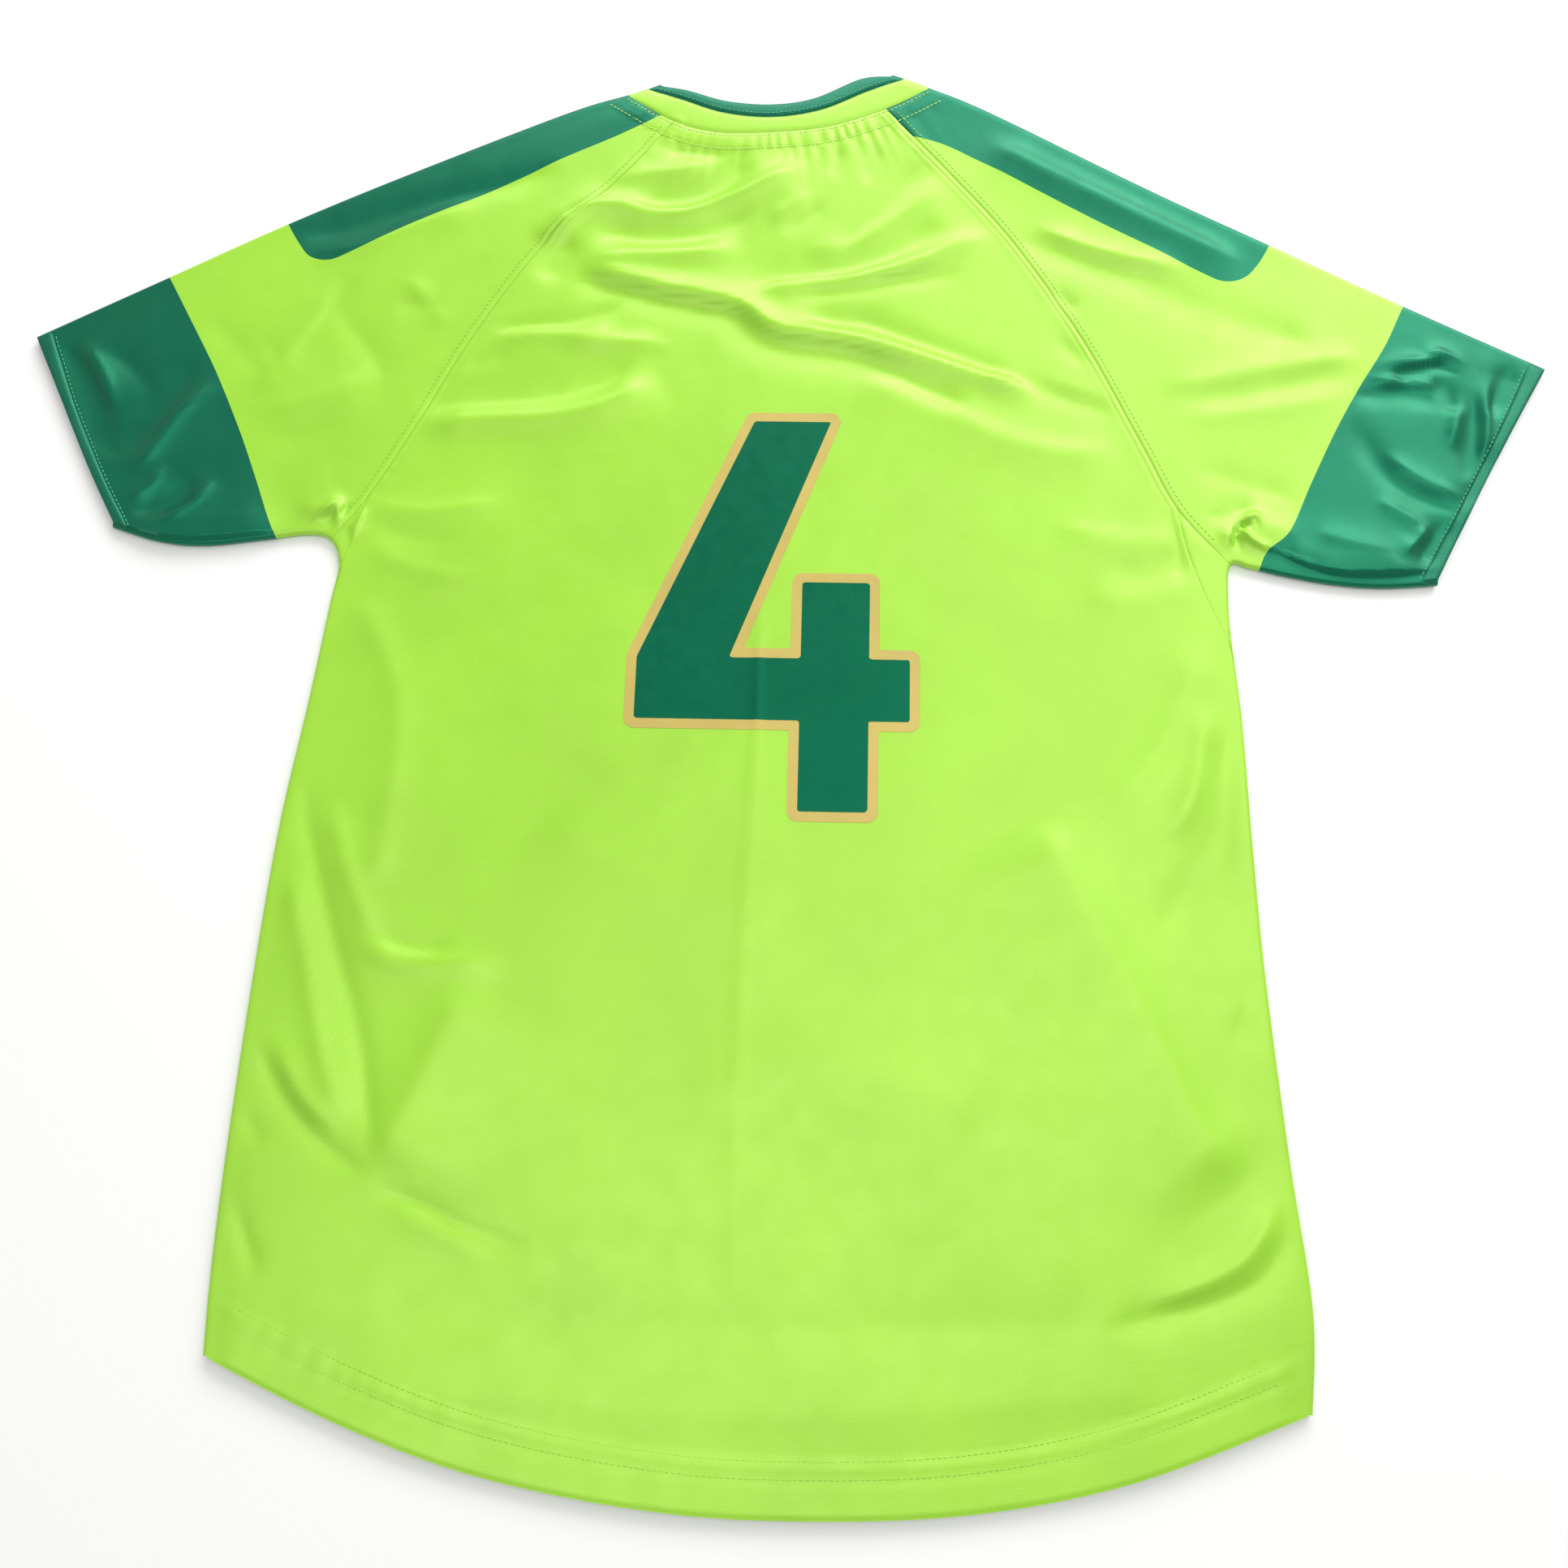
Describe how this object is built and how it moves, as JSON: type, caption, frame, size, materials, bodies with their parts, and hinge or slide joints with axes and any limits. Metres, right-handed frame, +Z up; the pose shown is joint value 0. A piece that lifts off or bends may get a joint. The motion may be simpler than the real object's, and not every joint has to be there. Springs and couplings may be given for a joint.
{
  "type": "football jersey",
  "caption": "Short-sleeved raglan football jersey laid flat with its back up: lime knit, dark green cuff bands, shoulder stripes and neck binding, and a large outlined number.",
  "frame": {"origin": "middle of the garment's laid-out outline, on the surface it lies on", "axes": "+X across the garment to the picture's right, from cuff to cuff; +Y from hem to collar; +Z up from the surface, out of the garment's back"},
  "size_m": [0.8645, 0.8015, 0.0089],
  "materials": {
    "lime_knit": "smooth polyester knit with a soft satin sheen, lime green",
    "printed_sleeve_knit": "the same lime knit with printed dark green cuff band and shoulder stripe",
    "green_knit": "dark green satin polyester knit, hemmed",
    "collar_knit": "lime knit collar band, topstitched",
    "green_binding": "dark green folded binding with one row of stitches"
  },
  "bodies": {
    "root": {"back_panel": "lime_knit", "front_panel": "lime_knit", "side_panel_left": "lime_knit", "side_panel_right": "lime_knit", "sleeve_left": "printed_sleeve_knit", "sleeve_right": "printed_sleeve_knit", "cuff_band_left": "green_knit", "cuff_band_right": "green_knit", "collar_band": "collar_knit", "collar_binding": "green_binding"}
  },
  "joints": []
}
